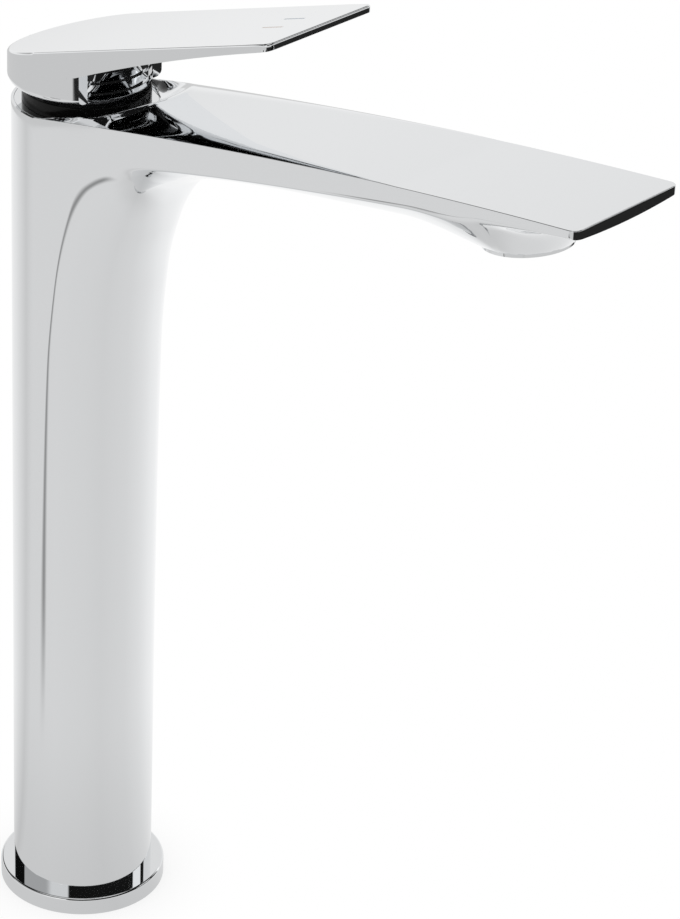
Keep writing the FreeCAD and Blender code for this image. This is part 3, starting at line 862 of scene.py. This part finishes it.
class TAP_OT_trim(bpy.types.Operator):
    """Collar ring, cover sleeve and outlet rim with softened edges, and the outlet's mesh"""

    bl_idname = "tap.trim"
    bl_label = "Collar, cover and outlet"

    def execute(self, context):
        # The cover sleeve wears black plastic as painted shade: its black stands in for the dark chrome reflections
        # in the gap under the lever
        for node, name, slot in (
                ("collar_ring", "collar_band", "polished_chrome"), ("cover_sleeve", "cover_band_painted_shade", "black_plastic"),
                ("aerator_housing", "outlet_rim", "polished_chrome")):
            place(dressed_copy(node, name, TRIM_EDGE), slot_material(slot), "body", [node])
        self.add_mesh()
        return {"FINISHED"}

    def add_mesh(self):
        """Wire mesh across the outlet, trimmed to the round rim."""
        low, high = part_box("aerator_screen")
        lean = math.radians(sizes().outlet_lean)
        width = high.y - low.y
        middle = (low + high) / 2
        deselect()
        gaps = finish().mesh_gaps
        bpy.ops.mesh.primitive_grid_add(
            x_subdivisions=gaps, y_subdivisions=gaps, size=width * 1.1, location=middle, rotation=(0, -lean, 0))
        wires = bpy.context.object
        wires.name = "outlet_mesh"
        bpy.ops.object.transform_apply(location=True, rotation=True, scale=True)
        strands = wires.modifiers.new("Strands", "WIREFRAME")
        strands.thickness = STRAND * MM
        deselect()
        bpy.ops.mesh.primitive_cylinder_add(
            vertices=OUTLET_POINTS, radius=width / 2, depth=2 * MM, location=middle, rotation=(0, -lean, 0))
        disc = bpy.context.object
        trim = wires.modifiers.new("Round", "BOOLEAN")
        trim.operation = "INTERSECT"
        trim.solver = "EXACT"
        trim.object = disc
        apply_modifiers(wires)
        bpy.data.objects.remove(disc)
        place(wires, slot_material("plain_steel"), "body", ["aerator_screen"])


class TAP_OT_inner(bpy.types.Operator):
    """Finishes of the pieces that keep their CAD shape"""

    bl_idname = "tap.inner"
    bl_label = "Inner pieces"

    def execute(self, context):
        for entry in frame["record"]["subparts"]:
            obj = frame["nodes"][entry["node"]]
            material = slot_material(entry["material_slot"])
            if not obj.material_slots:
                obj.data.materials.append(material)
            for slot in obj.material_slots:
                slot.material = material
        return {"FINISHED"}


class TAP_OT_stage(bpy.types.Operator):
    """White floor, studio surroundings and the camera"""

    bl_idname = "tap.stage"
    bl_label = "Stage"

    def execute(self, context):
        self.add_floor()
        self.add_surroundings()
        self.add_camera()
        return {"FINISHED"}

    def add_floor(self):
        stage = bpy.context.scene.tap_stage
        deselect()
        bpy.ops.mesh.primitive_circle_add(vertices=FLOOR_POINTS, radius=stage.floor_radius, fill_type="NGON")
        floor = bpy.context.object
        floor.name = "studio_floor"
        material = bpy.data.materials.new("white_floor")
        material.use_nodes = True
        tree = material.node_tree
        tree.nodes.clear()
        coords = tree.nodes.new("ShaderNodeTexCoord")
        length = tree.nodes.new("ShaderNodeVectorMath")
        length.operation = "LENGTH"
        tree.links.new(coords.outputs["Object"], length.inputs[0])
        distance = length.outputs["Value"]
        matt = tree.nodes.new("ShaderNodeBsdfDiffuse")
        matt.inputs["Color"].default_value = (0.96, 0.96, 0.96, 1.0)
        glow = tree.nodes.new("ShaderNodeEmission")
        glow.inputs["Color"].default_value = (1.0, 1.0, 1.0, 1.0)
        glow.inputs["Strength"].default_value = 1.0
        seen = tree.nodes.new("ShaderNodeMixShader")
        tree.links.new(rise(tree, distance, *FLOOR_SHADOW), seen.inputs["Fac"])
        tree.links.new(matt.outputs["BSDF"], seen.inputs[1])
        tree.links.new(glow.outputs["Emission"], seen.inputs[2])
        around = tree.nodes.new("ShaderNodeTexGradient")
        around.gradient_type = "RADIAL"
        tree.links.new(coords.outputs["Object"], around.inputs["Vector"])
        turn = around.outputs["Fac"]
        tones = tree.nodes.new("ShaderNodeValToRGB")
        ramp = tones.color_ramp
        for degrees, tone in PAINTED_REFLECTION_TONES:
            place_on_ramp = (degrees + 180) / 360
            ends = {0: ramp.elements[0], 1: ramp.elements[-1]}
            stop = ends.get(place_on_ramp) or ramp.elements.new(place_on_ramp)
            stop.color = (tone, tone, tone, 1.0)
        tree.links.new(turn, tones.inputs["Fac"])
        # Painted reflection: the chrome mirrors the floor in painted tones and painted shade, not in the even white
        # that the camera sees
        mirrored = tree.nodes.new("ShaderNodeEmission")
        tree.links.new(tones.outputs["Color"], mirrored.inputs["Color"])
        tree.links.new(combined(tree, "SUBTRACT", 1.0, self.painted_reflection_shade(tree, turn, distance)),
                       mirrored.inputs["Strength"])
        seen_or_mirrored(tree, seen.outputs["Shader"], mirrored.outputs["Emission"], "ShaderNodeOutputMaterial")
        floor.data.materials.append(material)

    def painted_reflection_shade(self, tree, turn, distance):
        """Painted shade in the floor's reflection: how much darker the chrome sees the floor than its tone, near the
        foot, along one line and far ahead.
        """
        off_line = combined(tree, "ABSOLUTE", combined(tree, "SUBTRACT", turn, FLOOR_LINE_TURN), 0.0)
        line = combined(tree, "MULTIPLY", rise(tree, off_line, FLOOR_LINE_WIDTH, 0.0),
                        between(tree, distance, *FLOOR_LINE_LENGTH))
        near = combined(tree, "MULTIPLY", rise(tree, distance, *FLOOR_NEAR), PAINTED_NEAR_SHADOW)
        ahead = combined(tree, "ADD", between(tree, turn, *FLOOR_AHEAD), between(tree, turn, *FLOOR_BESIDE))
        far = combined(tree, "MULTIPLY", ahead, rise(tree, distance, *FLOOR_FAR))
        near_and_line = combined(tree, "ADD", near, combined(tree, "MULTIPLY", line, PAINTED_LINE_SHADE))
        return combined(tree, "MAXIMUM", near_and_line, combined(tree, "MULTIPLY", far, PAINTED_FAR_SHADE))

    def add_surroundings(self):
        """White low down, a dim ceiling with a few lamps: what the chrome mirrors."""
        scene = bpy.context.scene
        scene.view_settings.view_transform = "Standard"
        world = bpy.data.worlds.new("studio")
        scene.world = world
        world.use_nodes = True
        tree = world.node_tree
        tree.nodes.clear()
        coords = tree.nodes.new("ShaderNodeTexCoord")
        direction = coords.outputs["Generated"]
        split = tree.nodes.new("ShaderNodeSeparateXYZ")
        tree.links.new(direction, split.inputs["Vector"])
        up = split.outputs["Z"]

        def number(operation, first, second):
            return combined(tree, operation, first, second)

        def step(value, low, high):
            return rise(tree, value, low, high)

        def towards(x, y, z):
            node = tree.nodes.new("ShaderNodeVectorMath")
            node.operation = "DOT_PRODUCT"
            node.inputs[1].default_value = Vector((x, y, z)).normalized()
            tree.links.new(direction, node.inputs[0])
            return node.outputs["Value"]

        def part(heading, start, full):
            return step(towards(*heading), start, full)

        front = part(*FRONT)
        behind = part(*BEHIND)
        lower = number("ADD", number("MULTIPLY", front, CEILING_FRONT_DROP),
                       number("MULTIPLY", behind, CEILING_BACK_DROP))
        edge = number("SUBTRACT", CEILING_EDGE, lower)
        overhead = number("MULTIPLY", step(up, *OVERHEAD), OVERHEAD_LIGHT)
        ceiling = number("SUBTRACT", step(number("SUBTRACT", up, edge), *CEILING_BLUR), overhead)
        low_ahead = number("MULTIPLY", part(*AHEAD), step(up, *LOW))
        dim = number("MAXIMUM", number("MULTIPLY", ceiling, CEILING_DARKNESS),
                     number("MULTIPLY", low_ahead, LOW_AHEAD_DARKNESS))
        left = number("MULTIPLY", part(*LEFT), step(up, *LEFT_HEIGHT))
        fall = number("ADD", number("MULTIPLY", step(up, *UPWARDS), UPWARDS_DARKNESS),
                      number("MULTIPLY", left, LEFT_DARKNESS))
        below = number("MULTIPLY", step(up, *BELOW), BELOW_DARKNESS)
        wall = number("SUBTRACT", number("SUBTRACT", WALL_LIGHT, fall), below)
        light = number("MULTIPLY", wall, number("SUBTRACT", 1.0, dim))
        for x, y, z, half_angle in LAMPS:
            soft_edge = math.cos(math.radians(half_angle + LAMP_BLUR))
            spot = step(towards(x, y, z), soft_edge, math.cos(math.radians(half_angle)))
            light = number("ADD", light, spot)
        mirrored = tree.nodes.new("ShaderNodeBackground")
        white = tree.nodes.new("ShaderNodeBackground")
        for background in (mirrored, white):
            background.inputs["Color"].default_value = (1.0, 1.0, 1.0, 1.0)
        tree.links.new(light, mirrored.inputs["Strength"])
        seen_or_mirrored(
            tree, white.outputs["Background"], mirrored.outputs["Background"], "ShaderNodeOutputWorld")

    def add_camera(self):
        stage = bpy.context.scene.tap_stage
        eye = Vector(stage.eye)
        back = (eye - Vector(stage.target)).normalized()
        right = Vector((0, 0, 1)).cross(back).normalized()
        up = back.cross(right)
        turned_right = right * math.cos(stage.roll) + up * math.sin(stage.roll)
        turned_up = up * math.cos(stage.roll) - right * math.sin(stage.roll)
        deselect()
        bpy.ops.object.camera_add(location=eye)
        camera = bpy.context.object
        axes = Matrix((turned_right, turned_up, back)).transposed()
        camera.rotation_euler = axes.to_euler()
        camera.data.lens = stage.lens
        camera.data.sensor_width = 36.0
        camera.data.sensor_fit = "AUTO"
        camera.data.clip_start = 0.01
        bpy.context.scene.camera = camera


class TAP_PT_panel(bpy.types.Panel):
    """Buttons that build the tap's pieces"""

    bl_idname = "TAP_PT_panel"
    bl_label = "Basin Tap"
    bl_space_type = "VIEW_3D"
    bl_region_type = "UI"
    bl_category = "Basin Tap"

    def draw(self, context):
        for operator in OPERATORS:
            self.layout.operator(operator.bl_idname)


OPERATORS = (TAP_OT_inner, TAP_OT_body, TAP_OT_foot, TAP_OT_lever, TAP_OT_trim, TAP_OT_stage)
GROUPS = (TapBodySizes, TapFinish, TapStage)


def register():
    for cls in GROUPS + OPERATORS + (TAP_PT_panel,):
        bpy.utils.register_class(cls)
    bpy.types.Scene.tap_body = PointerProperty(type=TapBodySizes)
    bpy.types.Scene.tap_finish = PointerProperty(type=TapFinish)
    bpy.types.Scene.tap_stage = PointerProperty(type=TapStage)


def unregister():
    del bpy.types.Scene.tap_stage
    del bpy.types.Scene.tap_finish
    del bpy.types.Scene.tap_body
    for cls in reversed(GROUPS + OPERATORS + (TAP_PT_panel,)):
        bpy.utils.unregister_class(cls)


def main():
    register()
    bpy.ops.tap.inner()
    bpy.ops.tap.body()
    bpy.ops.tap.foot()
    bpy.ops.tap.lever()
    bpy.ops.tap.trim()
    bpy.ops.tap.stage()


if __name__ == "__main__":
    main()
